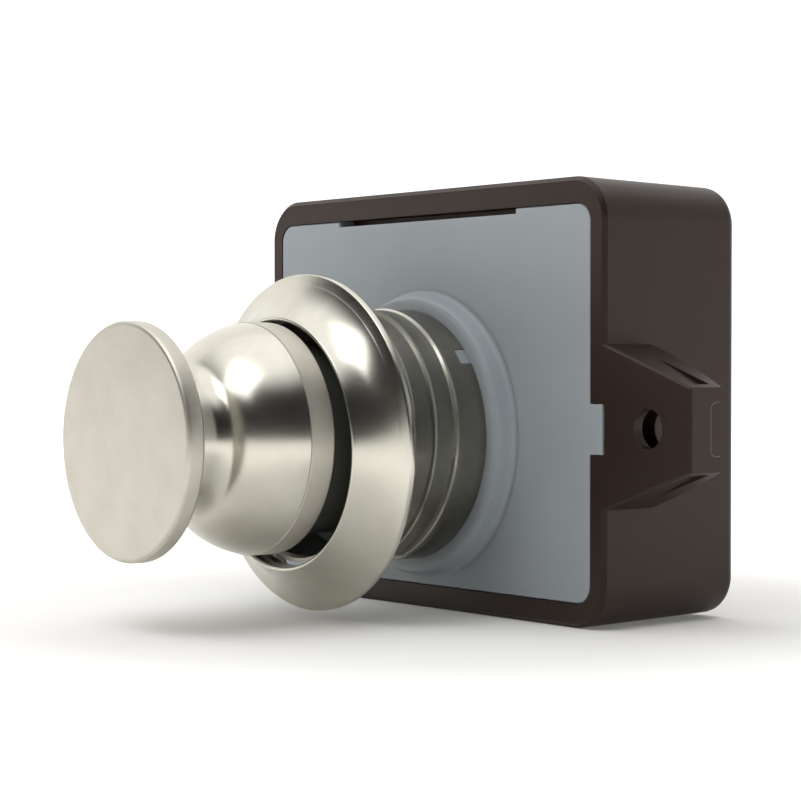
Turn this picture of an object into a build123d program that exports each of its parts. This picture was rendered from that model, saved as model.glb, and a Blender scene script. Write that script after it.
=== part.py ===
from build123d import *
import math
import os

os.makedirs("parts", exist_ok=True)

# Push button cabinet lock. All lengths are in millimetres.
# The Y axis is the barrel's axis, and y = 0 is the face that lies against the inside of the door.
# The button stands out to -Y, the housing lies behind y = 0, and the bolt leaves the housing to +Z.
# The model is drawn with the button popped out and the bolt drawn back.

# Housing: a moulded box, open at the front
housing_half_width = 25.4
housing_top = 23.7
housing_bottom = 16.9
housing_depth = 17.2
housing_corner = 4.0
side_wall = 1.8
top_wall = 2.4
bottom_wall = 2.2
back_wall = 2.0
rim_bevel = 0.4
back_rounding = 1.0
draft_angle = 1.0
plate_ledge = 0.8
cavity_corner = 1.2

# Mounting ears, one at each side of the housing
ear_screw_reach = 5.4
screw_hole_radius = 1.75
ear_reach = 10.5
ear_height = 1.25
ear_root_width = 14.7
ear_tip_width = 7.3
ear_web = 2.7
ear_flange = 1.2
ear_root_depth = 5.9
ear_tip_depth = 3.75
ear_back_sag = 0.5
ear_recess_rounding = 0.7
ear_pocket_depth = 0.5
ear_pocket_lip = 0.7
ear_pocket_start = 3.6
ear_edge_bevel = 0.2

# Front plate: plate, barrel boss, and a collar inside the barrel that guides the plunger, in one moulding
plate_thickness = 2.0
plate_corner = 1.8
plate_play = 0.05
plate_edge_bevel = 0.15
boss_rise = 2.2
boss_margin = 1.0
boss_foot = 1.0
collar_wall = 1.05
web_thickness = 1.2
lug_width = 1.6
lug_length = 1.2
lug_play = 0.05
lug_angle = 39.0
tab_low = -1.2
tab_high = 3.3
tab_setback = 0.3
tab_depth = 1.6
tab_play = 0.1
relief_half_width = 13.6
relief_height = 0.6

# Barrel: a turned tube with a threaded front and a plain foot
barrel_front = 15.4
barrel_foot_radius = 12.0
thread_depth = 0.35
barrel_wall = 0.75
barrel_foot_length = 3.3
barrel_fit = 0.05
barrel_flat_depth = 0.8
barrel_mouth_chamfer = 0.3

# Rosette: the ring that screws onto the barrel from the front of the door
rosette_flange = 3.7
rosette_back = 13.5
rosette_edge = 0.7
rosette_face_rise = 2.85
rosette_lip_width = 0.5
rosette_lip_play = 0.34
rosette_thread_play = 0.4
rosette_end_gap = 0.15
rosette_bevel = 0.9
rosette_bevel_rise = 0.25
rosette_sweep_share = 0.14

# Knob: disc, neck, bell and skirt
knob_front = 34.0
disc_thickness = 1.8
disc_bevel = 0.3
neck_radius = 6.2
cove_length = 2.3
neck_curve = 2.0
dome_radius = 8.8
dome_lean = 11.0
skirt_play = 0.24
skirt_wall = 1.16
skirt_end = 18.6
bell_end = 21.2
bell_step = 0.06
bell_groove = 0.12
bell_bore_depth = 6.2
bell_bore_rounding = 2.0
knob_boss_radius = 5.0
knob_boss_end = 19.6

# Spindle and its screw
spindle_radius = 3.0
spindle_depth_in_knob = 5.0
screw_radius = 1.5
screw_length = 7.0
screw_head_radius = 2.6
screw_head_height = 1.6
screw_head_bevel = 0.6
screw_slot_width = 0.6
screw_slot_depth = 0.7
washer_radius = 3.1
washer_thickness = 0.5

# Button travel, drive ramp and the stops of the plunger
button_travel = 9.0
drive_slope = 0.8
skirt_stop_gap = 0.4
web_stop_gap = 0.3

# Plunger: a moulded sleeve with a tubular nose, two sloping wings and a track pad
plunger_end = 5.2
plunger_radius = 5.2
plunger_bore = 4.3
plunger_wall = 1.8
nose_fit = 0.05
nose_wall = 1.55
web_overhang = 0.8
nose_front = 22.0
flange_thickness = 0.7
wing_tip = 8.0
wing_thickness = 2.2
wing_front_gap = 0.9
wing_pitch_point = 1.4
wing_bore_gap = 0.2
pad_half_width = 3.9
pad_bore_gap = 1.4
track_depth = 1.1
track_play = 0.25
track_swing = 2.0
track_rest = 3.6
track_notch_rise = 1.3

# Track pin: a cranked wire that swings in the housing and rides in the track
pin_radius = 0.5
pin_fit = 0.05
pin_pivot = 12.4
pin_arm_gap = 1.2
pin_tip_gap = 0.3
pin_bend = 0.9
pin_boss_radius = 2.0
pin_boss_gap = 1.3

# Leaf spring under the track pin
leaf_thickness = 0.25
leaf_half_width = 1.5
leaf_front = 4.4
leaf_back = 9.6
leaf_tip = 8.8
leaf_bend = 0.6
leaf_gap = 0.1
leaf_rib_width = 0.8
leaf_rib_height = 1.2
leaf_rib_play = 0.1

# Bolt: a fork over the plunger, with its tongue at the top
bolt_half_width = 13.2
bolt_front_gap = 0.3
bolt_thickness = 4.0
bolt_sink = 0.5
bolt_side_play = 0.2
bolt_bevel_depth = 2.8
bolt_bevel_height = 4.5
bolt_arch_play = 0.3
bolt_leg_reach = 11.0
bolt_shoulder = 9.6
bolt_foot_play = 0.5
bolt_foot_drop = 9.0
bolt_ramp_gap = 0.15
bolt_corner = 0.6
guide_rib = 1.2
guide_rib_place = 9.2
guide_low = 9.6
back_rib_low = 0.6

# Springs
wire_sides = 4
main_spring_radius = 3.72
main_wire = 0.36
main_turns = 7
main_post_radius = 3.0
main_post_length = 3.0
bolt_spring_place = 8.4
bolt_spring_radius = 1.55
bolt_wire = 0.2
bolt_turns = 4
spring_peg_radius = 1.0
spring_peg_length = 1.2

overrun = 3.0

# Places that follow from the sizes above
inner_back = housing_depth - back_wall
inner_half_width = housing_half_width - side_wall
inner_top = housing_top - top_wall
inner_floor = bottom_wall - housing_bottom
cavity_floor = inner_floor + plate_ledge
web_front = button_travel + skirt_stop_gap - skirt_end
web_back = web_front + web_thickness
plunger_front = web_back + web_stop_gap
spring_seat = plunger_front + plunger_wall
barrel_core_radius = barrel_foot_radius - thread_depth
barrel_bore = barrel_core_radius - barrel_wall
collar_radius = barrel_bore - barrel_fit
collar_bore = collar_radius - collar_wall
web_bore = collar_bore - web_overhang
nose_radius = web_bore - nose_fit
nose_bore = nose_radius - nose_wall
boss_radius = barrel_foot_radius + boss_margin
skirt_radius = barrel_bore - skirt_play
bell_radius = skirt_radius - bell_step
bell_bore = skirt_radius - skirt_wall
disc_radius = skirt_radius
rosette_lip = skirt_radius + rosette_lip_play
rosette_radius = barrel_foot_radius + rosette_flange
pad_drop = collar_bore - pad_bore_gap
pin_arm_drop = pad_drop + pin_arm_gap
pin_boss_drop = pin_arm_drop + pin_boss_gap
screw_place = housing_half_width + ear_screw_reach
bolt_front = plate_thickness + bolt_front_gap
bolt_back = bolt_front + bolt_thickness
bolt_middle = (bolt_front + bolt_back) / 2
bolt_arch = wing_tip + bolt_arch_play
bolt_foot_inside = plunger_radius + bolt_foot_play
ear_tip = housing_half_width + ear_reach


def sketch_plane(depth):
    # Plane across the barrel's axis at y = depth, with X to the right and Z up
    return Plane(origin=(0, depth, 0), x_dir=(1, 0, 0), z_dir=(0, -1, 0))


def block(x_low, x_high, y_low, y_high, z_low, z_high):
    # Plain box between two corners
    size = Box(x_high - x_low, y_high - y_low, z_high - z_low)
    return Pos((x_low + x_high) / 2, (y_low + y_high) / 2, (z_low + z_high) / 2) * size


def rounded_outline(half_width, low, high, radius, depth):
    # Rounded rectangle across the barrel's axis
    rectangle = RectangleRounded(2 * half_width, high - low, radius)
    return sketch_plane(depth) * (Pos(0, (low + high) / 2) * rectangle)


def rounded_block(half_width, low, high, radius, y_low, y_high):
    # Rounded rectangle taken straight back from y_low to y_high
    return extrude(rounded_outline(half_width, low, high, radius, y_low), amount=y_low - y_high)


def prism_across(points, y_low, y_high):
    # Polygon of (x, z) points taken from y_low to y_high
    face = sketch_plane(y_low) * make_face(Polyline(*points, close=True))
    return extrude(face, amount=y_low - y_high)


def prism_along(points, half_width):
    # Polygon of (y, z) points taken to both sides of the middle of the lock
    return extrude(Plane.YZ * make_face(Polyline(*points, close=True)), amount=half_width, both=True)


def cylinder_along(radius, y_low, y_high, x=0, z=0):
    # Cylinder parallel to the barrel's axis
    face = sketch_plane(y_low) * (Pos(x, z) * Circle(radius))
    return extrude(face, amount=y_low - y_high)


def post(radius, x, y, z_low, z_high):
    # Upright cylinder
    return Pos(x, y, (z_low + z_high) / 2) * Cylinder(radius, z_high - z_low)


def turned(edges):
    # Closed outline of edges in (radius, y), turned about the barrel's axis
    return revolve(make_face(edges), Axis.Y)


def turned_polygon(*points):
    # Polygon of (radius, y) points, turned about the barrel's axis
    return turned(Polyline(*points, close=True))


def coil(radius, wire, turns, length):
    # Helical spring standing on z = 0, with its wire inside the given length.
    # The wire is drawn with four sides, which keeps a hidden spring light.
    rise = length - 2 * wire
    path = Helix(pitch=rise / turns, height=rise, radius=radius)
    section = Plane(origin=path @ 0, z_dir=path % 0) * RegularPolygon(wire, wire_sides)
    return Pos(0, 0, wire) * sweep(section, path=path, is_frenet=True)


def on_both_sides(shape):
    # The shape and its mirror image across the middle of the lock
    return [shape, mirror(shape, about=Plane.YZ)]


def ear_half_width(x):
    # Half the ear's height at a distance x from the barrel's axis, along its slanted edges
    share = (x - housing_half_width) / ear_reach
    return (ear_root_width + (ear_tip_width - ear_root_width) * share) / 2


def ear():
    # Right mounting ear: a web with slanted flanges that are deepest at the housing
    root = housing_half_width - side_wall
    front = [(root, ear_height - ear_root_width / 2),
             (housing_half_width, ear_height - ear_root_width / 2),
             (ear_tip, ear_height - ear_tip_width / 2),
             (ear_tip, ear_height + ear_tip_width / 2),
             (housing_half_width, ear_height + ear_root_width / 2),
             (root, ear_height + ear_root_width / 2)]
    solid = prism_across(front, 0, ear_root_depth)

    # The back edge of the flanges bows out between the root and the tip
    middle = ((housing_half_width + ear_tip) / 2, (ear_root_depth + ear_tip_depth) / 2 + ear_back_sag)
    edges = Polyline((housing_half_width, ear_root_depth), (root, ear_root_depth), (root, 0),
                     (ear_tip, 0), (ear_tip, ear_tip_depth))
    edges += ThreePointArc((ear_tip, ear_tip_depth), middle, (housing_half_width, ear_root_depth))
    plan = Pos(0, 0, ear_height - ear_root_width) * make_face(edges)
    solid &= extrude(plan, amount=2 * ear_root_width, dir=(0, 0, 1))
    front_edges = solid.edges().group_by(Axis.Y)[0].sort_by(Axis.X)
    outer_edges = [edge for edge in front_edges if edge.center().X > housing_half_width]
    solid = chamfer(outer_edges, ear_edge_bevel)

    solid -= ear_screw_recess()
    for upward in (1, -1):
        solid -= ear_side_pocket(upward)
    return solid - cylinder_along(screw_hole_radius, -overrun, ear_web + overrun,
                                  screw_place, ear_height)


def ear_screw_recess():
    # Recess for the screw head, open to the back and through the tip
    start = housing_half_width + ear_flange / 2
    end = ear_tip + overrun
    points = [(start, ear_height - ear_half_width(start) + ear_flange),
              (end, ear_height - ear_half_width(ear_tip) + ear_flange),
              (end, ear_height + ear_half_width(ear_tip) - ear_flange),
              (start, ear_height + ear_half_width(start) - ear_flange)]
    recess = prism_across(points, ear_web, ear_root_depth + overrun)
    return fillet(recess.edges().group_by(Axis.Y)[0], ear_recess_rounding)


def ear_side_pocket(upward):
    # Shallow hollow in a slanted side near the tip, between a front lip and the back edge
    start = housing_half_width + ear_pocket_start
    end = ear_tip - ear_pocket_lip
    points = [(start, ear_height + upward * ear_half_width(start)),
              (end, ear_height + upward * (ear_half_width(end) - ear_pocket_depth)),
              (end, ear_height + upward * (ear_half_width(end) + overrun)),
              (start, ear_height + upward * (ear_half_width(start) + overrun))]
    return prism_across(points, ear_pocket_lip, ear_tip_depth - ear_pocket_lip)


def housing_shell():
    # Drafted outer box with its ears and the two steps of its cavity
    front = rounded_outline(housing_half_width, -housing_bottom, housing_top, housing_corner, 0)
    shell = extrude(front, amount=housing_depth, dir=(0, 1, 0), taper=draft_angle)
    shell = fillet(shell.edges().group_by(Axis.Y)[-1], back_rounding)
    shell = chamfer(shell.edges().group_by(Axis.Y)[0], rim_bevel)
    shell += on_both_sides(ear())
    shell -= rounded_block(inner_half_width, inner_floor, inner_top, plate_corner, -overrun, plate_thickness)
    shell -= rounded_block(inner_half_width - plate_ledge, inner_floor + plate_ledge, inner_top - plate_ledge,
                           cavity_corner, -overrun, inner_back)
    return shell


def housing():
    # Brown moulded housing with all that it carries inside
    solid = housing_shell()

    # Notches in the rim for the tabs of the front plate
    notch = block(inner_half_width - overrun, housing_half_width, -overrun, tab_depth + tab_play,
                  tab_low - tab_play, tab_high + tab_play)
    solid -= on_both_sides(notch)

    # Slot that the bolt leaves by, in the top wall
    slot_half_width = bolt_half_width + bolt_side_play
    solid -= block(-slot_half_width, slot_half_width, bolt_front - bolt_front_gap / 2,
                   bolt_back + bolt_side_play, inner_top - overrun, housing_top + overrun)

    # Ribs that guide the bolt at its sides and at its back
    side_rib = block(slot_half_width, slot_half_width + guide_rib, bolt_front, inner_back + back_wall / 2,
                     guide_low, inner_top)
    back_rib = block(guide_rib_place, guide_rib_place + guide_rib, bolt_back + bolt_side_play,
                     inner_back + back_wall / 2, back_rib_low, inner_top)
    solid += on_both_sides(side_rib) + on_both_sides(back_rib)

    # Post inside the main spring, and floor pegs inside the bolt springs
    solid += cylinder_along(main_post_radius, inner_back - main_post_length, inner_back + back_wall / 2)
    peg = post(spring_peg_radius, bolt_spring_place, bolt_middle, cavity_floor - plate_ledge / 2,
               cavity_floor + spring_peg_length)
    solid += on_both_sides(peg)

    # Boss that the track pin swings in, and ribs that hold the leaf spring
    solid += post(pin_boss_radius, 0, pin_pivot, cavity_floor - plate_ledge / 2, -pin_boss_drop)
    solid -= post(pin_radius + pin_fit, 0, pin_pivot, cavity_floor, -pin_boss_drop + overrun)
    rib_place = leaf_half_width + leaf_rib_play
    leaf_rib = block(rib_place, rib_place + leaf_rib_width, leaf_front, leaf_back,
                     cavity_floor - plate_ledge / 2, cavity_floor + leaf_rib_height)
    return solid + on_both_sides(leaf_rib)


def lug(play, reach):
    # Key between the collar and the barrel's rear rim, wider and longer by the play
    inside = (collar_radius + collar_bore) / 2
    return block(inside, reach, -boss_rise - lug_length - play, -boss_rise,
                 -lug_width / 2 - play, lug_width / 2 + play)


def around_barrel(shape):
    # Copies of a shape at the four lug places, mirrored about both middle planes
    angles = (lug_angle, 180 - lug_angle, 180 + lug_angle, 360 - lug_angle)
    return [Rot(0, -angle, 0) * shape for angle in angles]


def front_plate():
    # Milky white plate that closes the housing and carries the barrel
    play = plate_play
    solid = rounded_block(inner_half_width - play, inner_floor + play, inner_top - play, plate_corner - play,
                          0, plate_thickness)
    solid = chamfer(solid.edges().group_by(Axis.Y)[0], plate_edge_bevel)

    # Lower top edge over the middle, and a tab at each side
    solid -= block(-relief_half_width, relief_half_width, -overrun, plate_thickness + overrun,
                   inner_top - relief_height, inner_top + overrun)
    tab = block(inner_half_width - 2 * plate_corner, housing_half_width - tab_setback, 0, tab_depth,
                tab_low, tab_high)
    solid += on_both_sides(tab)

    # Boss with a sloping flank, and a collar whose front web guides the plunger's nose
    solid += turned_polygon((0, 0), (boss_radius + boss_foot, 0), (boss_radius, -boss_rise), (0, -boss_rise))
    solid += cylinder_along(collar_radius, web_front, plate_thickness / 2)
    solid -= cylinder_along(collar_bore, web_back, plate_thickness + overrun)
    solid -= cylinder_along(web_bore, web_front - overrun, overrun)
    return solid + around_barrel(lug(0, barrel_foot_radius - lug_play))


def barrel():
    # Nickelled tube on the boss, with a plain foot, a flat underneath and four notches
    foot_front = -boss_rise - barrel_foot_length
    solid = turned_polygon((barrel_bore, -boss_rise), (barrel_foot_radius, -boss_rise),
                           (barrel_foot_radius, foot_front), (barrel_core_radius, foot_front),
                           (barrel_core_radius, -barrel_front),
                           (barrel_bore + barrel_mouth_chamfer, -barrel_front),
                           (barrel_bore, -barrel_front + barrel_mouth_chamfer))
    flat_height = barrel_foot_radius - barrel_flat_depth
    solid -= block(-barrel_foot_radius, barrel_foot_radius, -barrel_front - overrun, foot_front,
                   -barrel_foot_radius - overrun, -flat_height)
    return solid - around_barrel(lug(lug_play, barrel_foot_radius + overrun))


def rosette():
    # Flared ring: a bevelled outer edge, a concave sweep and a rolled lip over the barrel's front end
    back = -rosette_back
    edge_front = back - rosette_edge
    lip_front = edge_front - rosette_bevel_rise - rosette_face_rise - rosette_lip_width / 2
    bore = barrel_foot_radius + rosette_thread_play
    ceiling = -barrel_front - rosette_end_gap
    bevel_point = (rosette_radius - rosette_bevel, edge_front - rosette_bevel_rise)
    lip_point = (rosette_lip + rosette_lip_width, lip_front + rosette_lip_width / 2)
    sweep_start = Vector(lip_point[0] - bevel_point[0], lip_point[1] - bevel_point[1])
    chord_middle = Vector((lip_point[0] + bevel_point[0]) / 2, (lip_point[1] + bevel_point[1]) / 2)
    inward = Vector(-sweep_start.Y, sweep_start.X) * (rosette_sweep_share / 2)
    bow = chord_middle + inward if inward.Y > 0 else chord_middle - inward
    edges = Polyline((bore, ceiling), (bore, back), (rosette_radius, back), (rosette_radius, edge_front),
                     bevel_point)
    edges += ThreePointArc(bevel_point, (bow.X, bow.Y), lip_point)
    lip_middle = rosette_lip + rosette_lip_width / 2
    edges += Polyline(lip_point, (lip_middle, lip_front), (rosette_lip, lip_front + rosette_lip_width / 2),
                      (rosette_lip, ceiling), (bore, ceiling))
    return turned(edges)


def bell_outline(neck_start):
    # Straight neck, a concave curve, and the dome that leans a little outwards where the skirt begins
    lean = math.radians(dome_lean)
    rim_way = Vector(math.cos(lean), -math.sin(lean))
    dome = Vector(bell_radius, -bell_end) - rim_way * dome_radius
    reach = neck_radius + neck_curve - dome.X
    drop = math.sqrt((dome_radius + neck_curve) ** 2 - reach ** 2)
    hollow = dome + Vector(reach, -drop)
    way = (hollow - dome).normalized()
    meeting = dome + way * dome_radius
    dome_middle = dome + (rim_way + way).normalized() * dome_radius
    neck_end = (neck_radius, hollow.Y)
    edges = Polyline(neck_start, neck_end)
    edges += Spline(neck_end, meeting, tangents=((0, 1), (-way.Y, way.X)))
    return edges + ThreePointArc(meeting, dome_middle, (bell_radius, -bell_end))


def knob():
    # Mushroom knob with a hollow bell, and a boss in it for the spindle
    front = -knob_front
    disc_back = front + disc_thickness
    cove_start = (disc_radius - disc_bevel, disc_back)
    bore_end = bell_bore_depth + skirt_end
    edges = Polyline((0, front), (disc_radius - disc_bevel, front), (disc_radius, front + disc_bevel),
                     (disc_radius, disc_back - disc_bevel), cove_start)
    neck_start = (neck_radius, disc_back + cove_length)
    edges += Spline(cove_start, neck_start, tangents=((-1, 0), (0, 1)))
    edges += bell_outline(neck_start)
    edges += Polyline((bell_radius, -bell_end), (bell_radius - bell_groove, -bell_end),
                      (skirt_radius, -bell_end + bell_groove), (skirt_radius, -skirt_end),
                      (bell_bore, -skirt_end),
                      (bell_bore, bell_bore_rounding - bore_end))
    edges += Polyline((bell_bore, bell_bore_rounding - bore_end), (bell_bore - bell_bore_rounding, -bore_end),
                      (knob_boss_radius, -bore_end), (knob_boss_radius, -knob_boss_end), (0, -knob_boss_end),
                      (0, front))
    solid = turned(edges)
    return solid - cylinder_along(spindle_radius, -knob_boss_end - spindle_depth_in_knob, 0)


def spindle():
    # Steel rod from the knob's boss to the plunger, tapped at its back end
    solid = cylinder_along(spindle_radius, -knob_boss_end - spindle_depth_in_knob, plunger_front)
    return solid - cylinder_along(screw_radius, plunger_front - screw_length, plunger_front + overrun)


def spindle_washer():
    # Flat washer under the screw's head
    solid = cylinder_along(washer_radius, spring_seat, spring_seat + washer_thickness)
    return solid - cylinder_along(screw_radius, spring_seat - overrun, spring_seat + overrun)


def spindle_screw():
    # Slotted screw that clamps the plunger to the spindle
    head = spring_seat + washer_thickness
    end = head + screw_head_height
    solid = cylinder_along(screw_radius, plunger_front - screw_length, head)
    pan = cylinder_along(screw_head_radius, head, end)
    solid += chamfer(pan.edges().group_by(Axis.Y)[-1], screw_head_bevel)
    return solid - block(-screw_head_radius, screw_head_radius, end - screw_slot_depth, end + overrun,
                         -screw_slot_width / 2, screw_slot_width / 2)


def wing_height(y):
    # Middle of the wings above the barrel's axis, falling towards the back
    return -drive_slope * (y + wing_pitch_point)


def track_lane(start, end):
    # Slot with round ends between two points of the track
    run = Vector(*end) - Vector(*start)
    angle = math.degrees(math.atan2(run.Y, run.X))
    width = 2 * (pin_radius + track_play)
    middle = ((start[0] + end[0]) / 2, (start[1] + end[1]) / 2)
    return Pos(*middle) * (Rot(0, 0, angle) * SlotCenterToCenter(run.length, width))


def heart_track():
    # Track around a heart-shaped island: in by the right lane, held at the notch, out by the left
    rest = (0, track_rest)
    turn = track_rest - button_travel
    inward = (track_swing, turn)
    notch = (0, turn + track_notch_rise)
    outward = (-track_swing, turn)
    lanes = [track_lane(rest, inward), track_lane(inward, notch), track_lane(notch, outward),
             track_lane(outward, rest)]
    track = Sketch() + lanes
    return extrude(Pos(0, 0, -pad_drop - overrun) * track, amount=overrun + track_depth, dir=(0, 0, 1))


def plunger():
    # Black nylon plunger: a tubular nose in the bell, a stop flange, and behind it the sleeve
    # with the wings that drive the bolt and the pad that carries the track
    solid = cylinder_along(plunger_radius, plunger_front, plunger_end)
    solid += cylinder_along(nose_radius, -nose_front, plunger_front)
    solid -= cylinder_along(nose_bore, -nose_front, plunger_front)
    solid += cylinder_along(collar_bore - wing_bore_gap, plunger_front, plunger_front + flange_thickness)
    wing_start = plunger_front + wing_front_gap
    rise = wing_thickness / 2
    side = [(wing_start, wing_height(wing_start) - rise), (plunger_end, wing_height(plunger_end) - rise),
            (plunger_end, wing_height(plunger_end) + rise), (wing_start, wing_height(wing_start) + rise)]
    wings = prism_along(side, wing_tip)
    wings &= cylinder_along(collar_bore - wing_bore_gap, plunger_front, plunger_end)
    solid += wings
    solid += block(-pad_half_width, pad_half_width, plunger_front, plunger_end, -pad_drop, 0)
    solid -= cylinder_along(plunger_bore, spring_seat, plunger_end + overrun)
    solid -= cylinder_along(screw_radius, plunger_front - overrun, spring_seat + overrun)
    return solid - heart_track()


def track_pin():
    # Wire with its tip up in the track, an arm along the barrel's axis and a foot in the boss
    tip_top = track_depth - pad_drop - pin_tip_gap
    foot_end = pin_tip_gap + cavity_floor
    route = FilletPolyline((0, track_rest, tip_top), (0, track_rest, -pin_arm_drop),
                           (0, pin_pivot, -pin_arm_drop), (0, pin_pivot, foot_end), radius=pin_bend)
    section = Plane(origin=route @ 0, z_dir=route % 0) * Circle(pin_radius)
    return sweep(section, path=route)


def track_pin_leaf():
    # Folded strip on the housing's floor that presses the pin up into the track
    low = cavity_floor + leaf_thickness / 2
    tip = -pin_arm_drop - pin_radius - leaf_gap - leaf_thickness
    route = FilletPolyline((leaf_back, low), (leaf_front, low), (leaf_tip, tip), radius=leaf_bend)
    strip = Plane.YZ * trace(route, leaf_thickness)
    return extrude(strip, amount=leaf_half_width, both=True)


def bolt():
    # Fork with a bevelled tongue at the top and a ramp on each foot, under the plunger's wings
    top = housing_top - bolt_sink
    solid = block(-bolt_half_width, bolt_half_width, bolt_front, bolt_back, bolt_shoulder, top)
    solid += block(-bolt_leg_reach, bolt_leg_reach, bolt_front, bolt_back, -bolt_foot_drop, bolt_shoulder)
    solid = fillet(solid.edges().filter_by(Axis.Y).group_by(Axis.Z)[-1], bolt_corner)
    solid -= cylinder_along(bolt_arch, bolt_front - overrun, bolt_back + overrun)
    solid -= block(-bolt_arch, bolt_arch, bolt_front - overrun, bolt_back + overrun,
                   -bolt_foot_drop - overrun, 0)

    # The bevel on the tongue's inner side lets a closing door push the bolt in
    bevel_front = bolt_back - bolt_bevel_depth
    bevel_low = top - bolt_bevel_height
    solid -= prism_along([(bevel_front, top), (bolt_back, bevel_low), (bolt_back + overrun, bevel_low),
                          (bolt_back + overrun, top + overrun), (bevel_front, top + overrun)],
                         bolt_half_width + overrun)

    # Feet that reach under the wings, with ramps at the wings' slope
    under = wing_thickness / 2 + bolt_ramp_gap
    feet = prism_along([(bolt_front, -bolt_foot_drop), (bolt_back, -bolt_foot_drop),
                        (bolt_back, wing_height(bolt_back) - under),
                        (bolt_front, wing_height(bolt_front) - under)], bolt_leg_reach)
    feet -= block(-bolt_foot_inside, bolt_foot_inside, bolt_front - overrun, bolt_back + overrun,
                  -bolt_foot_drop - overrun, 0)
    peg = post(spring_peg_radius, bolt_spring_place, bolt_middle, -bolt_foot_drop - spring_peg_length,
               -bolt_foot_drop)
    return solid + feet + on_both_sides(peg)


def main_spring():
    # Spring from the plunger's cup to the back of the housing
    length = inner_back - spring_seat
    return Pos(0, inner_back, 0) * (Rot(90, 0, 0) * coil(main_spring_radius, main_wire, main_turns, length))


def bolt_spring(side):
    # Spring under one leg of the bolt
    length = -bolt_foot_drop - cavity_floor
    wound = coil(bolt_spring_radius, bolt_wire, bolt_turns, length)
    return Pos(side * bolt_spring_place, bolt_middle, cavity_floor) * wound


nodes = {
    "housing": housing(),
    "front_plate": front_plate(),
    "barrel": barrel(),
    "rosette": rosette(),
    "knob": knob(),
    "spindle": spindle(),
    "spindle_screw": spindle_screw(),
    "spindle_washer": spindle_washer(),
    "plunger": plunger(),
    "main_spring": main_spring(),
    "bolt": bolt(),
    "bolt_spring_left": bolt_spring(-1),
    "bolt_spring_right": bolt_spring(1),
    "track_pin": track_pin(),
    "track_pin_leaf": track_pin_leaf(),
}

for name, shape in nodes.items():
    export_step(shape, "parts/" + name + ".step")
    print(name, "volume", round(shape.volume, 1))
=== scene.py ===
import bmesh
import bpy
import numpy as np
from mathutils import Matrix, Vector


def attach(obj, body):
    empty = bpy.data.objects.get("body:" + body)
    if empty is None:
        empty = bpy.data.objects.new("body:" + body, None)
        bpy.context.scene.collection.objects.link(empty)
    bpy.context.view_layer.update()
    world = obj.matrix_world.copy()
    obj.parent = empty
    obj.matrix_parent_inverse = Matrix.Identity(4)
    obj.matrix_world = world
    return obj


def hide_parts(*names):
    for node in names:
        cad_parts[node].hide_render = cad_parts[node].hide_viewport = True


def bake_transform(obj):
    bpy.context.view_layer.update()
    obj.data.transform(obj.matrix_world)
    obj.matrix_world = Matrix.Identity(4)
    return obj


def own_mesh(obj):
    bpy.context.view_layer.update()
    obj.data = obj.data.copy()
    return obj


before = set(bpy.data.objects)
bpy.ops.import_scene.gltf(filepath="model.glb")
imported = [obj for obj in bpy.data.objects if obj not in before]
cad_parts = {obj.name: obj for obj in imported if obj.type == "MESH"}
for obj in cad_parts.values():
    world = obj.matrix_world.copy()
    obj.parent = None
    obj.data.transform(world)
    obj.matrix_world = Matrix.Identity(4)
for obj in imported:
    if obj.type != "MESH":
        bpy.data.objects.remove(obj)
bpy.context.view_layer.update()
mm = 0.001  # sizes are in millimetres of the part's frame, unless a note says otherwise
print("frame loaded with", len(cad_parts), "nodes")


def linearColour(hexText):
    # sRGB hex to linear light: c / 12.92 under 0.04045, else ((c + 0.055) / 1.055) to the power 2.4
    channels = np.array([int(hexText[k:k + 2], 16) for k in (1, 3, 5)]) / 255
    linear = np.where(channels < 0.04045, channels / 12.92, ((channels + 0.055) / 1.055) ** 2.4)
    return (*linear.tolist(), 1.0)


def addNode(tree, kind, inputs=None, **settings):
    # A node with its settings, and its inputs set to values or linked from sockets
    node = tree.nodes.new(kind)
    for name, value in settings.items():
        setattr(node, name, value)
    for name, value in (inputs or {}).items():
        if isinstance(value, bpy.types.NodeSocket):
            tree.links.new(value, node.inputs[name])
        else:
            node.inputs[name].default_value = value
    return node


def perMetre(featureMm):
    # Noise scale for features of a real size: one over the size in metres
    return 1000 / featureMm


def newMaterial(name, constants):
    # Material whose shader has its constant sockets set, and the place that its patterns read
    material = bpy.data.materials.new(name)
    material.use_nodes = True
    tree = material.node_tree
    shader = tree.nodes["Principled BSDF"]
    for socket, value in constants.items():
        shader.inputs[socket].default_value = value
    place = addNode(tree, "ShaderNodeTexCoord").outputs["Object"]
    return material, tree, shader, place


# What the making leaves on a surface: a slow cloud in colour and roughness, and a fine grain. The
# dark and the light colour lie at darkAt and lightAt of the cloud's noise
platedMetal = {"constants": {"Metallic": 1.0}, "cloudDetail": 4.0, "cloudRoughness": 0.6,
               "darkAt": 0.3, "lightAt": 0.7, "grainDetail": 2.0, "grainDepth": 0.01}
mouldedPlastic = {"cloudDetail": 3.0, "cloudRoughness": 0.5,
                  "darkAt": 0.25, "lightAt": 0.75, "grainDetail": 3.0, "grainDepth": 0.02}


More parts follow.
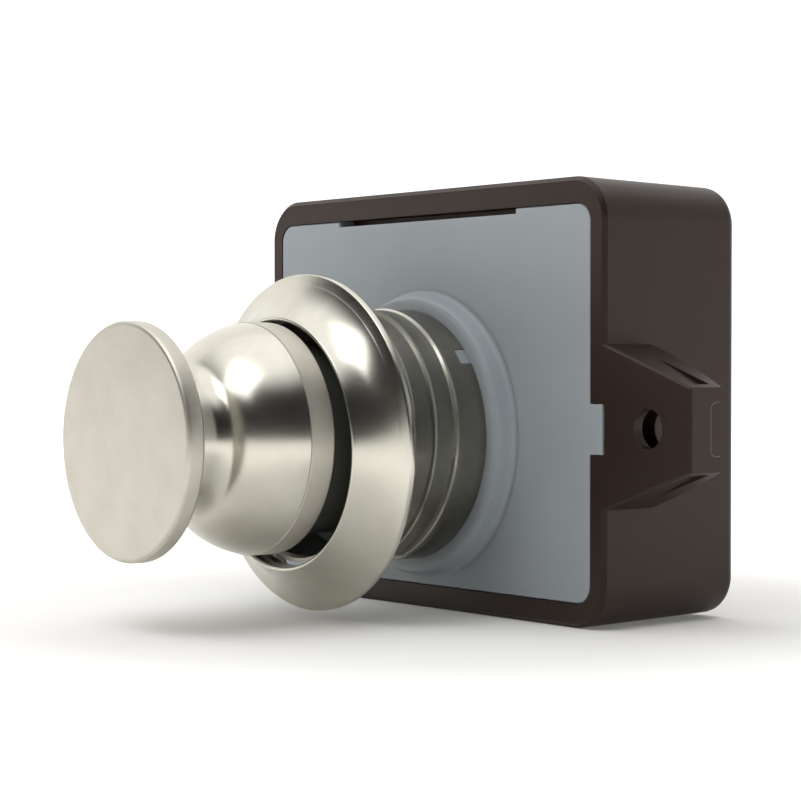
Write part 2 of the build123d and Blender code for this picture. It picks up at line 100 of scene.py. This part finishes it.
def finishMaterial(name, making, look):
    # Colour and roughness follow one cloud of noise, and the grain is a bump of finer noise
    s = {**making, **look}
    material, tree, shader, place = newMaterial(name, s["constants"])
    cloud = addNode(tree, "ShaderNodeTexNoise", {
        "Vector": place, "Scale": perMetre(s["cloudMm"]), "Detail": s["cloudDetail"],
        "Roughness": s["cloudRoughness"]})
    tint = addNode(tree, "ShaderNodeValToRGB", {"Fac": cloud.outputs["Fac"]})
    for stop, end in zip(tint.color_ramp.elements, ("dark", "light")):
        stop.position = s[end + "At"]
        stop.color = linearColour(s[end])
    tree.links.new(tint.outputs["Color"], shader.inputs["Base Color"])
    gloss = addNode(tree, "ShaderNodeMapRange", {
        "Value": cloud.outputs["Fac"], "To Min": s["roughLow"], "To Max": s["roughHigh"]})
    tree.links.new(gloss.outputs["Result"], shader.inputs["Roughness"])
    grain = addNode(tree, "ShaderNodeTexNoise", {
        "Vector": place, "Scale": perMetre(s["grainMm"]), "Detail": s["grainDetail"]})
    bump = addNode(tree, "ShaderNodeBump", {
        "Height": grain.outputs["Fac"], "Strength": s["grainStrength"],
        "Distance": s["grainDepth"] * mm})
    tree.links.new(bump.outputs["Normal"], shader.inputs["Normal"])
    return material


# Satin nickel on the knob's face, its rim and the skirt band: blasted before plating, so
# highlights spread and the face looks warm and cloudy
satinNickel = finishMaterial("blasted_satin_nickel_plate", platedMetal, {
    "dark": "#c0bcb1", "light": "#cac6bc", "cloudMm": 3.2, "roughLow": 0.4, "roughHigh": 0.46,
    "grainMm": 0.12, "grainStrength": 0.25})

# Bright nickel on the bell and the ring: turned smooth, so it mirrors the room with a slight blur
brightNickel = finishMaterial("turned_bright_nickel_plate", platedMetal, {
    "dark": "#c4c1b6", "light": "#cfccc1", "cloudMm": 4.0, "roughLow": 0.2, "roughHigh": 0.26,
    "grainMm": 0.15, "grainStrength": 0.1})

# Nickel on the threaded barrel, painted darker than the ring: painted shade and painted reflection
# of the dim room that its core mirrors
barrelNickelPaintedShade = finishMaterial("cut_thread_nickel_painted_darker", platedMetal, {
    "dark": "#837f76", "light": "#938f85", "cloudMm": 5.0, "roughLow": 0.27, "roughHigh": 0.33,
    "grainMm": 0.15, "grainStrength": 0.06})

# Brown ABS, injection moulded: dark with a satin sheen that lifts along the corners
brownAbs = finishMaterial("moulded_brown_abs", mouldedPlastic, {
    "constants": {"IOR": 1.52, "Specular Tint": linearColour("#e2d0c6")},
    "dark": "#20140f", "light": "#261914", "cloudMm": 14.0, "roughLow": 0.42, "roughHigh": 0.5,
    "grainMm": 0.18, "grainStrength": 0.35})

# Natural nylon, injection moulded: milky, so light goes in a little and the edges look soft
milkyNylon = finishMaterial("moulded_natural_nylon", mouldedPlastic, {
    "constants": {"IOR": 1.53, "Subsurface Weight": 0.9, "Subsurface Radius": (1.0, 1.0, 1.1),
                  "Subsurface Scale": 1.2 * mm},
    "dark": "#9aa1a6", "light": "#a5acb1", "cloudMm": 18.0, "roughLow": 0.4, "roughHigh": 0.5,
    "grainMm": 0.2, "grainStrength": 0.2})

# Black nylon, injection moulded: a dull sleeve that shows only inside the bell. Its colour is
# painted dark grey, lighter than black nylon, as painted light for the light that reaches inside
# the bell
nylonSleevePaintedLight = finishMaterial("black_nylon_painted_lighter", mouldedPlastic, {
    "constants": {"IOR": 1.53}, "dark": "#50504b", "light": "#585853", "cloudMm": 8.0,
    "roughLow": 0.42, "roughHigh": 0.5, "grainMm": 0.2, "grainStrength": 0.3})

# Drawn steel wire and bar: bright with a faint cloud
drawnSteel = finishMaterial("drawn_bright_steel", platedMetal, {
    "dark": "#9c9c9a", "light": "#b4b4b1", "cloudMm": 1.5, "roughLow": 0.25, "roughHigh": 0.35,
    "grainMm": 0.1, "grainStrength": 0.2})

# Zinc die casting with a nickel flash: greyer and rougher than the turned pieces
castZinc = finishMaterial("die_cast_zinc_nickel_flash", platedMetal, {
    "dark": "#8e8d88", "light": "#a5a49e", "cloudMm": 1.8, "roughLow": 0.34, "roughHigh": 0.48,
    "grainMm": 0.22, "grainStrength": 0.5})
print("materials made")


def arcPoints(centre, radius, startDeg, endDeg, count):
    # Points (centre + radius (cos a, sin a)) for angles evenly spaced from start to end
    angle = np.radians(np.linspace(startDeg, endDeg, count))
    return np.array(centre) + radius * np.stack([np.cos(angle), np.sin(angle)], axis=1)


def bentCurve(start, end, startWay, endWay, count):
    # Cubic through both ends: its slopes there are the given ways, as long as the chord
    t = np.linspace(0, 1, count)[:, None]
    start, end = np.array(start), np.array(end)
    chord = np.linalg.norm(end - start)
    first, last = chord * np.array(startWay), chord * np.array(endWay)
    return ((2 * t ** 3 - 3 * t ** 2 + 1) * start + (t ** 3 - 2 * t ** 2 + t) * first
            + (3 * t ** 2 - 2 * t ** 3) * end + (t ** 3 - t ** 2) * last)


def bowedLine(start, end, bow, count):
    # Straight run from start to end, pushed to its left by bow times 4 t (1 - t)
    t = np.linspace(0, 1, count)[:, None]
    start, end = np.array(start), np.array(end)
    run = end - start
    side = np.array([-run[1], run[0]]) / np.linalg.norm(run)
    return start + t * run + 4 * t * (1 - t) * bow * side


# Corners nearer than the merge distance in millimetres are one, on a grid and on a CAD copy. Faces
# of a CAD copy that differ by less than flatDeg join
meshPlan = {"gridMerge": 0.0005, "cadMerge": 0.001, "flatDeg": 0.3, "edgeSegments": 2}


def gridMesh(name, grid, closedRows, closedColumns, material, sharpDeg=35.0):
    # Mesh of a grid of points in millimetres. Rows and columns may close on themselves, and
    # doubled points at poles are merged, so that every seam is shut
    rows, columns = grid.shape[:2]
    index = np.arange(rows * columns).reshape(rows, columns)
    if closedRows:
        index = np.vstack([index, index[:1]])
    if closedColumns:
        index = np.hstack([index, index[:, :1]])
    corners = [index[:-1, :-1], index[:-1, 1:], index[1:, 1:], index[1:, :-1]]
    faces = np.stack(corners, axis=-1).reshape(-1, 4)
    mesh = bpy.data.meshes.new(name)
    mesh.from_pydata((grid.reshape(-1, 3) * mm).tolist(), [], faces.tolist())
    cleaned = bmesh.new()
    cleaned.from_mesh(mesh)
    bmesh.ops.remove_doubles(cleaned, verts=cleaned.verts, dist=meshPlan["gridMerge"] * mm)
    bmesh.ops.recalc_face_normals(cleaned, faces=cleaned.faces)
    cleaned.to_mesh(mesh)
    cleaned.free()
    mesh.materials.append(material)
    mesh.shade_smooth()
    mesh.set_sharp_from_angle(angle=np.radians(sharpDeg))
    piece = bpy.data.objects.new(name, mesh)
    bpy.context.scene.collection.objects.link(piece)
    return piece


def turnedGrid(profile, count):
    # Points (r cos a, y, r sin a) for each (r, y) of the profile and each angle a of a full turn
    angle = np.linspace(0, 2 * np.pi, count, endpoint=False)[:, None]
    radius, along = profile[:, 0], profile[:, 1]
    return np.stack([radius * np.cos(angle), along + 0 * angle, radius * np.sin(angle)], axis=-1)


def stackProfile(*parts):
    # One outline from several runs of points
    return np.vstack([np.atleast_2d(np.array(part, float)) for part in parts])


def faceMiddles(piece):
    # Each face's middle in millimetres: its distance from the barrel's axis and its place along it
    middles = np.zeros(len(piece.data.polygons) * 3)
    piece.data.polygons.foreach_get("center", middles)
    middles = middles.reshape(-1, 3) / mm
    return np.hypot(middles[:, 0], middles[:, 2]), middles[:, 1]


def secondFinish(piece, material, chosen):
    # A second material, on the faces that are chosen
    piece.data.materials.append(material)
    piece.data.polygons.foreach_set("material_index", chosen.astype(np.int32))


# Knob: flat disc, cove to the neck, bell and a lighter skirt band, hollow behind. The last three
# sizes are the margins by which a face counts as satin
knobShape = {"discRadius": 10.66, "front": -34.0, "discBack": -32.2, "rimRound": 0.42,
             "neckRadius": 6.2, "neckStart": -29.9, "neckEnd": -28.33,
             "domeMiddle": (1.96, -19.52), "domeRadius": 8.8, "domeDeg": (-54.7, -11.0),
             "domeWay": (0.816, 0.578), "bellRadius": 10.6, "bellEnd": -21.2, "crease": 0.14,
             "creaseStep": 0.02, "skirtRadius": 10.66, "skirtEnd": -18.6, "skirtRound": 0.18,
             "bore": 9.5, "boreEnd": -24.8, "boreRound": 2.0, "bossRadius": 5.0,
             "bossEnd": -19.6, "holeRadius": 3.0, "holeEnd": -24.6, "turns": 224,
             "domeSteps": 48, "rimSteps": 8, "coveSteps": 22, "shoulderSteps": 16,
             "skirtSteps": 6, "boreSteps": 10,
             "satinFrom": 0.05, "satinOutside": 0.1, "satinBehind": 0.02}


def makeKnob():
    # Outline turned about the barrel's axis, from the middle of the face round to the spindle's
    # hole
    s = knobShape
    rimRadius = s["discRadius"] - s["rimRound"]
    skirtRadius = s["skirtRadius"] - s["skirtRound"]
    dome = arcPoints(s["domeMiddle"], s["domeRadius"], *s["domeDeg"], s["domeSteps"])
    profile = stackProfile(
        [(0, s["front"]), (s["discRadius"] / 2, s["front"]), (rimRadius, s["front"])],
        arcPoints((rimRadius, s["front"] + s["rimRound"]), s["rimRound"], -90, 0, s["rimSteps"]),
        arcPoints((rimRadius, s["discBack"] - s["rimRound"]), s["rimRound"], 0, 90, s["rimSteps"]),
        bentCurve((rimRadius, s["discBack"]), (s["neckRadius"], s["neckStart"]),
                  (-1, 0), (0, 1), s["coveSteps"])[1:],
        bentCurve((s["neckRadius"], s["neckEnd"]), dome[0], (0, 1), s["domeWay"],
                  s["shoulderSteps"]),
        dome[1:],
        [(s["bellRadius"] - s["crease"], s["bellEnd"] + s["creaseStep"]),
         (s["skirtRadius"], s["bellEnd"] + s["crease"])],
        arcPoints((skirtRadius, s["skirtEnd"] - s["skirtRound"]), s["skirtRound"], 0, 90,
                  s["skirtSteps"]),
        [(s["bore"], s["skirtEnd"])],
        arcPoints((s["bore"] - s["boreRound"], s["boreEnd"] + s["boreRound"]), s["boreRound"],
                  0, -90, s["boreSteps"]),
        [(s["bossRadius"], s["boreEnd"]), (s["bossRadius"], s["bossEnd"]),
         (s["holeRadius"], s["bossEnd"]), (s["holeRadius"], s["holeEnd"]), (0, s["holeEnd"])])
    piece = gridMesh("turned_knob", turnedGrid(profile, s["turns"]), True, False, brightNickel)

    # The face, the rim up to the disc's back, and the skirt band are blasted satin
    radius, place = faceMiddles(piece)
    band = (place > s["bellEnd"] + s["satinFrom"]) & (radius > s["bore"] + s["satinOutside"])
    secondFinish(piece, satinNickel, (place < s["discBack"] + s["satinBehind"]) | band)
    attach(piece, "button")
    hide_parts("knob")


makeKnob()
print("knob made")

# Rosette: a flared ring with a rolled lip, hung on the thread a little low and tilted, as loose
# rings are
rosetteShape = {"outer": 15.7, "back": -13.5, "edgeFront": -14.2, "edgeRound": 0.16,
                "edgeEndDeg": -75, "bevelRadius": 14.8, "bevelFront": -14.45,
                "sweepInset": 0.05, "sweepStart": 0.04, "sweepBow": -0.32, "lipOuter": 11.86,
                "lipInner": 11.36, "lipFront": -17.55, "ceiling": -15.55, "bore": 12.7,
                "turns": 256, "edgeSteps": 5, "sweepSteps": 40, "lipSteps": 14,
                "drop": 0.56, "tiltDeg": 1.6, "tiltPlace": -15.5}


def makeRosette():
    # Outline turned about the axis, then turned by the tilt about X and lowered by the drop
    s = rosetteShape
    lipRound = (s["lipOuter"] - s["lipInner"]) / 2
    lipMiddle = (s["lipOuter"] + s["lipInner"]) / 2
    edge = s["edgeRound"]
    profile = stackProfile(
        [(s["bore"], s["ceiling"]), (s["bore"], s["back"])],
        arcPoints((s["outer"] - edge, s["back"] - edge), edge, 90, 0, s["edgeSteps"]),
        arcPoints((s["outer"] - edge, s["edgeFront"] + edge), edge, 0, s["edgeEndDeg"],
                  s["edgeSteps"]),
        [(s["bevelRadius"], s["bevelFront"])],
        bowedLine((s["bevelRadius"] - s["sweepInset"], s["bevelFront"] - s["sweepStart"]),
                  (s["lipOuter"], s["lipFront"] + lipRound), s["sweepBow"], s["sweepSteps"]),
        arcPoints((lipMiddle, s["lipFront"] + lipRound), lipRound, 0, -180, s["lipSteps"])[1:],
        [(s["lipInner"], s["ceiling"])])
    grid = turnedGrid(profile, s["turns"])
    tilt = np.radians(s["tiltDeg"])
    along, up = grid[..., 1] - s["tiltPlace"], grid[..., 2]
    grid = np.stack([grid[..., 0], s["tiltPlace"] + along * np.cos(tilt) - up * np.sin(tilt),
                     along * np.sin(tilt) + up * np.cos(tilt) - s["drop"]], axis=-1)
    piece = gridMesh("flared_rosette", grid, True, True, brightNickel)
    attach(piece, "rosette")
    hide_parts("rosette")


makeRosette()
print("rosette made")

# Barrel: smooth core with a thin coarse thread, a plain foot, a flat underneath and notches at the
# back. The root rows lie in the groove, at these distances behind the middle of the ridge
barrelShape = {"bore": 10.9, "core": 11.86, "crest": 12.1, "foot": 12.0, "front": -15.4,
               "footFront": -5.0, "footGap": 0.05, "footRows": 12, "back": -2.2,
               "mouthBevel": 0.3, "pitch": 2.5, "threadPlace": -5.75, "crestHalf": 0.14,
               "rootHalf": 0.3, "rootRows": (0.5, 0.9, 1.3, 1.7), "runOut": 0.5, "taper": 1.6,
               "flat": 11.2, "leastSine": 0.01, "notchDeg": (39, 141), "notchHalfDeg": 4.15,
               "notchHairDeg": 0.04, "notchDepth": 1.25, "turns": 300, "sharpDeg": 24.0,
               "paintedHighlightAbove": 0.02}


def makeBarrel():
    # Radius of a tube by row and angle. Rows of the thread climb one pitch a turn, so each keeps
    # one height of the ridge, and where a row passes an end it stays there at the plain radius. The
    # rear rows step forward inside the notches, and the underside is cut to the flat
    s = barrelShape
    edges = [middle + side * s["notchHalfDeg"] + step for middle in s["notchDeg"]
             for side in (-1, 1) for step in (-s["notchHairDeg"], s["notchHairDeg"])]
    degrees = np.unique(np.concatenate([np.linspace(0, 360, s["turns"] + 1), edges]))
    angle = np.radians(degrees)[:, None]
    first, last = s["front"] + s["mouthBevel"], s["footFront"]

    # One pitch of the thread: its offsets from the ridge's middle and the ridge's share of its
    # height, then every row of the thread at every angle
    offsets = np.array([-s["rootHalf"], -s["crestHalf"], s["crestHalf"], s["rootHalf"],
                        *s["rootRows"]])
    heights = np.array([0, 1, 1, 0] + [0] * len(s["rootRows"]))
    count = int(np.ceil((last - first) / s["pitch"])) + 2
    turnsAway = np.arange(-count, 2)[:, None] * s["pitch"]
    rowPlace = (s["threadPlace"] + turnsAway + offsets).ravel()
    rowHeight = np.tile(heights, len(turnsAway))
    climb = rowPlace + s["pitch"] * angle / (2 * np.pi)
    threadPlace = np.clip(climb, first, last)
    inside = (np.clip((last - climb) / s["runOut"], 0, 1)
              * np.clip((climb - first) / s["runOut"], 0, 1))
    swell = np.clip((threadPlace - last + s["taper"]) / s["taper"], 0, 1)
    plain = s["core"] + (s["foot"] - s["core"]) * swell ** 2 * (3 - 2 * swell)
    threadRadius = plain + (s["crest"] - s["core"]) * rowHeight * inside

    # The mouth, the foot and the bore close the tube's wall
    mouth = s["core"] - s["mouthBevel"] + 0 * angle
    footPlace = np.linspace(s["footFront"] + s["footGap"], s["back"], s["footRows"]) + 0 * angle
    innerPlace = np.array([s["back"], s["footFront"], first, s["front"]]) + 0 * angle
    innerRadius = np.array([s["bore"]] * 3 + [s["bore"] + s["mouthBevel"]]) + 0 * angle
    flatRadius = s["flat"] / np.maximum(-np.sin(angle), s["leastSine"])
    place = np.hstack([s["front"] + 0 * angle, threadPlace, footPlace, innerPlace])
    radius = np.hstack([mouth, np.minimum(threadRadius, flatRadius), s["foot"] + 0 * footPlace,
                        innerRadius])
    away = np.abs(degrees[:, None] - np.array(s["notchDeg"])).min(axis=1)
    rear = np.where(away < s["notchHalfDeg"], s["back"] - s["notchDepth"], s["back"])[:, None]
    place = np.minimum(place, rear)
    grid = np.stack([radius * np.cos(angle), place, radius * np.sin(angle)], axis=-1)
    piece = gridMesh("threaded_barrel", grid, False, True, barrelNickelPaintedShade, s["sharpDeg"])

    # The ridge gets the bright nickel as a painted highlight on its glinting facets: its faces
    # stand above the foot and lie before it
    distance, along = faceMiddles(piece)
    secondFinish(piece, brightNickel,
                 (distance > s["foot"] + s["paintedHighlightAbove"]) & (along < s["footFront"]))
    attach(piece, "case")
    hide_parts("barrel")


makeBarrel()
print("barrel made")

# Ears: cores round the screw holes, between a thin skin at the front and one at the back, and a
# round on the rear edge of the tips, where the recess behind the ear comes out
earCore = {"places": (-30.8, 30.8), "height": 1.25, "radius": 2.9, "front": 1.05, "back": 2.6,
           "sides": 48, "root": 25.9, "tip": 35.89, "tipHalf": 3.65, "slope": 0.3524,
           "skin": 0.2, "holeEdge": 2.0, "pocketEnd": 35.2, "pocketGap": 0.05,
           "recessTop": 2.69, "recessShare": 0.68, "mouthRound": 0.32, "mouthSegments": 5}


def softenTips(cleaned):
    # The recess behind each ear is narrowed to a share of its height about the screw's height,
    # which thickens its flanges, and its edges on the tip become an arc. A corner belongs to the
    # recess when it lies behind the recess's floor, away from the hole and from the end of the
    # side pockets, and inside the ear's slanted outline
    s = earCore
    middle = s["height"] * mm

    def inRecess(vertex):
        across, along = abs(vertex.co.x) / mm, vertex.co.y / mm
        up = vertex.co.z / mm - s["height"]
        outline = s["tipHalf"] + s["slope"] * (s["tip"] - across)
        return (across > s["root"] and along > s["recessTop"] and abs(up) < outline - s["skin"]
                and abs(across - s["pocketEnd"]) > s["pocketGap"]
                and np.hypot(across - s["places"][1], up) > s["holeEdge"])

    corners = [vertex for vertex in cleaned.verts if inRecess(vertex)]
    mouth = [edge for edge in cleaned.edges if len(edge.link_faces) == 2
             and all(abs(vertex.co.x) / mm > s["tip"] and inRecess(vertex)
                     for vertex in edge.verts)]
    for vertex in corners:
        vertex.co.z = middle + (vertex.co.z - middle) * s["recessShare"]
    bmesh.ops.bevel(cleaned, geom=mouth, offset=s["mouthRound"] * mm, profile=0.5,
                    segments=s["mouthSegments"], affect="EDGES", clamp_overlap=True)
    print("ear tip edges rounded:", len(mouth))


def coreEars(piece):
    # Each core is a cylinder along Y about (place, height), cut out of the piece
    s = earCore
    outline = np.array([(0, s["front"]), (s["radius"], s["front"]), (s["radius"], s["back"]),
                        (0, s["back"])])
    for place in s["places"]:
        grid = turnedGrid(outline, s["sides"]) + np.array([place, 0, s["height"]])
        cutter = gridMesh("ear_core", grid, True, False, piece.data.materials[0])
        cut = piece.modifiers.new("ear_core", "BOOLEAN")
        cut.operation, cut.solver, cut.object = "DIFFERENCE", "EXACT", cutter
        shown = piece.evaluated_get(bpy.context.evaluated_depsgraph_get())
        cored = bpy.data.meshes.new_from_object(shown)
        piece.modifiers.clear()
        piece.data = cored
        bpy.data.objects.remove(cutter)


def finishedCopy(node, name, body, material, edgeMm, sharpDeg=32.0, rework=None,
                 soften=None):
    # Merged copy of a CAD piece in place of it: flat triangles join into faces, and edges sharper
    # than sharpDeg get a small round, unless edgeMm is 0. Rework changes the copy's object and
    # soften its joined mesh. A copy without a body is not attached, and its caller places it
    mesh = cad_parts[node].data.copy()
    mesh.name = name
    cleaned = bmesh.new()
    cleaned.from_mesh(mesh)
    bmesh.ops.remove_doubles(cleaned, verts=cleaned.verts, dist=meshPlan["cadMerge"] * mm)
    cleaned.to_mesh(mesh)
    mesh.materials.clear()
    mesh.materials.append(material)
    piece = bpy.data.objects.new(name, mesh)
    bpy.context.scene.collection.objects.link(piece)
    if rework:
        rework(piece)
        cleaned.clear()
        cleaned.from_mesh(piece.data)
    bmesh.ops.dissolve_limit(cleaned, angle_limit=np.radians(meshPlan["flatDeg"]),
                             verts=cleaned.verts, edges=cleaned.edges)
    if soften:
        soften(cleaned)
    cleaned.to_mesh(piece.data)
    cleaned.free()
    piece.data.shade_smooth()
    piece.data.set_sharp_from_angle(angle=np.radians(sharpDeg))
    if edgeMm:
        rounding = piece.modifiers.new("edge_round", "BEVEL")
        rounding.width = edgeMm * mm
        rounding.segments = meshPlan["edgeSegments"]
        rounding.limit_method = "ANGLE"
        rounding.angle_limit = np.radians(sharpDeg)
        piece.modifiers.new("even_normals", "WEIGHTED_NORMAL").keep_sharp = True
    if body:
        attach(piece, body)
    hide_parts(node)
    return piece


finishedCopy("housing", "moulded_housing", "case", brownAbs, edgeMm=0.15,
             rework=coreEars, soften=softenTips)
finishedCopy("front_plate", "moulded_front_plate", "case", milkyNylon,
             edgeMm=0.1, sharpDeg=70.0)
finishedCopy("bolt", "cast_bolt", "bolt", castZinc, edgeMm=0.15)
print("housing, plate and bolt made")

# The inner pieces keep their own solids, with the finish that each has on the bench; the plunger's
# colour is painted lighter as painted light
innerFinish = {"plunger": nylonSleevePaintedLight, "spindle": drawnSteel, "spindle_screw": drawnSteel,
               "spindle_washer": drawnSteel, "track_pin": drawnSteel,
               "track_pin_leaf": drawnSteel}
for nodeName, finish in innerFinish.items():
    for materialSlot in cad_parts[nodeName].material_slots:
        materialSlot.material = finish
print("inner pieces finished")


def makeSprings():
    # The main spring is a copy that goes with the case, with a mesh of its own. The bolt's springs
    # are copies with no body, whose placing is baked into their meshes
    spring = finishedCopy("main_spring", "wound_main_spring", "case", drawnSteel,
                          edgeMm=0)
    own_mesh(spring)
    for side in ("left", "right"):
        spring = finishedCopy("bolt_spring_" + side, "wound_bolt_spring_" + side, None,
                              drawnSteel, edgeMm=0)
        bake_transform(spring)


makeSprings()

# Camera as the photograph's: worked out from the housing's edges, in degrees and millimetres
cameraPlace = {"azimuthDeg": 51.5, "elevationDeg": 1.1, "distance": 214.2, "rightShift": -2.19,
               "upShift": 3.30, "lens": 98.88, "sensor": 36.0}


def makeCamera():
    # Camera on the line back from the lock, moved sideways and up, and turned along that line
    s = cameraPlace
    azimuth, elevation = np.radians(s["azimuthDeg"]), np.radians(s["elevationDeg"])
    right = Vector((np.cos(azimuth), np.sin(azimuth), 0))
    back = Vector((np.sin(azimuth) * np.cos(elevation), -np.cos(azimuth) * np.cos(elevation),
                   np.sin(elevation)))
    up = back.cross(right)
    lens = bpy.data.cameras.new("photo_camera")
    lens.lens = s["lens"]
    lens.sensor_width = s["sensor"]
    lens.sensor_fit = "HORIZONTAL"
    lens.clip_start = 0.01
    camera = bpy.data.objects.new("photo_camera", lens)
    place = (s["rightShift"] * right + s["upShift"] * up + s["distance"] * back) * mm
    facing = Matrix((right, up, back)).transposed().to_4x4()
    camera.matrix_world = Matrix.Translation(place) @ facing
    bpy.context.scene.collection.objects.link(camera)
    bpy.context.scene.camera = camera


# Sweep: white paper under and behind the lock that glows like a light table, less near the lock as
# a painted shadow pool. The floor's height is in millimetres and the other sizes are in metres
sweepShape = {"floor": -16.92, "sweepStart": 0.55, "sweepRadius": 0.35, "sweepTop": 1.4,
              "sweepSteps": 24, "halfWidth": 9.0, "columns": 19, "front": -9.0,
              "paper": "#f1f0ee", "paperTint": "#fffffd", "paintedShadeGlow": 0.12, "glowFar": 0.62,
              "glowStart": 0.04, "glowEnd": 0.085}


def makeSweep():
    # Floor that bends up into the backdrop through a quarter circle, across the view's direction.
    # The paper glows more with its distance from the lock, so the dimmer paper near it is a painted
    # shadow pool
    s = sweepShape
    turn = np.linspace(0, np.pi / 2, s["sweepSteps"])
    away = np.concatenate([[s["front"]], s["sweepStart"] + s["sweepRadius"] * np.sin(turn),
                           [s["sweepStart"] + s["sweepRadius"]]])
    rise = np.concatenate([[0], s["sweepRadius"] * (1 - np.cos(turn)), [s["sweepTop"]]])
    rise = rise + s["floor"] * mm
    side = np.linspace(-s["halfWidth"], s["halfWidth"], s["columns"])
    azimuth = np.radians(cameraPlace["azimuthDeg"])
    look = np.array([-np.sin(azimuth), np.cos(azimuth)])
    right = np.array([np.cos(azimuth), np.sin(azimuth)])
    flat = away[:, None, None] * look + side[None, :, None] * right
    height = np.broadcast_to(rise[:, None, None], flat.shape[:2] + (1,))
    grid = np.concatenate([flat, height], axis=-1)
    material, tree, shader, place = newMaterial("paper_sweep_with_painted_shade", {
        "Base Color": linearColour(s["paper"]), "Roughness": 0.85, "Specular IOR Level": 0.1,
        "Emission Color": linearColour(s["paperTint"])})
    # Painted shadow pool: the glow is low near the lock and rises with distance from it
    reach = addNode(tree, "ShaderNodeVectorMath", {0: place}, operation="LENGTH")
    glow = addNode(tree, "ShaderNodeMapRange", {
        "Value": reach.outputs["Value"], "From Min": s["glowStart"], "From Max": s["glowEnd"],
        "To Min": s["paintedShadeGlow"], "To Max": s["glowFar"]}, interpolation_type="SMOOTHSTEP")
    tree.links.new(glow.outputs["Result"], shader.inputs["Emission Strength"])
    piece = gridMesh("paper_sweep", grid / mm, False, False, material)


# Surround: a grey wall, and over it a paler one behind the lock, a white one on its left, the dim
# part of the room and the bright ceiling. Each sets in from start to full as the view turns its way
surround = {"wall": "#959593", "strength": 1.0, "layers": [
    {"colour": "#cfcfcd", "light": 1.0, "way": (0, 1, 0), "start": 0.1, "full": 0.6},
    {"colour": "#eeeeec", "light": 1.0, "way": (-1, 0, 0), "start": -0.5, "full": 0.3},
    {"colour": "#272625", "light": 1.0, "way": (0.5, -0.74, 0.45), "start": -0.05, "full": 0.36},
    {"colour": "#ffffff", "light": 1.5, "way": (-0.12, 0, 1), "start": 0.6, "full": 0.93}]}


def makeSurround():
    # World colour by direction, in layers: each covers the last by a smooth step, from its start
    # to its full value, of the dot product of the view with the layer's way
    world = bpy.data.worlds.new("studio_surround")
    world.use_nodes = True
    tree = world.node_tree
    view = addNode(tree, "ShaderNodeTexCoord").outputs["Generated"]
    colour = linearColour(surround["wall"])
    for layer in surround["layers"]:
        layerColour = [layer["light"] * channel for channel in linearColour(layer["colour"])[:3]]
        facing = addNode(tree, "ShaderNodeVectorMath", {0: view, 1: layer["way"]},
                         operation="DOT_PRODUCT")
        cover = addNode(tree, "ShaderNodeMapRange", {
            "Value": facing.outputs["Value"], "From Min": layer["start"],
            "From Max": layer["full"]}, interpolation_type="SMOOTHSTEP")

        # The colour sockets of a Mix node are 6 and 7, and its colour output is 2
        mix = addNode(tree, "ShaderNodeMix", {
            0: cover.outputs["Result"], 6: colour, 7: (*layerColour, 1.0)}, data_type="RGBA")
        colour = mix.outputs[2]
    tree.links.new(colour, tree.nodes["Background"].inputs["Color"])
    tree.nodes["Background"].inputs["Strength"].default_value = surround["strength"]
    bpy.context.scene.world = world


# Lamp: a square soft box before the knob and above it, in metres and watts
lampPlace = {"place": (0.02, -0.14, 0.16), "target": (0, -0.02, 0), "side": 0.11, "power": 0.1}


def makeLamp():
    # White lamp at its place, facing its target, and unseen itself
    s = lampPlace
    lamp = bpy.data.lights.new("window_softbox", "AREA")
    lamp.shape = "RECTANGLE"
    lamp.size, lamp.size_y = s["side"], s["side"]
    lamp.energy = s["power"]
    holder = bpy.data.objects.new("window_softbox", lamp)
    way = Vector(s["target"]) - Vector(s["place"])
    facing = way.to_track_quat("-Z", "Y").to_matrix().to_4x4()
    holder.visible_camera = False
    holder.matrix_world = Matrix.Translation(Vector(s["place"])) @ facing
    bpy.context.scene.collection.objects.link(holder)


makeCamera()
makeSweep()
makeSurround()
makeLamp()
bpy.context.scene.view_settings.view_transform = "Standard"
print("studio made")
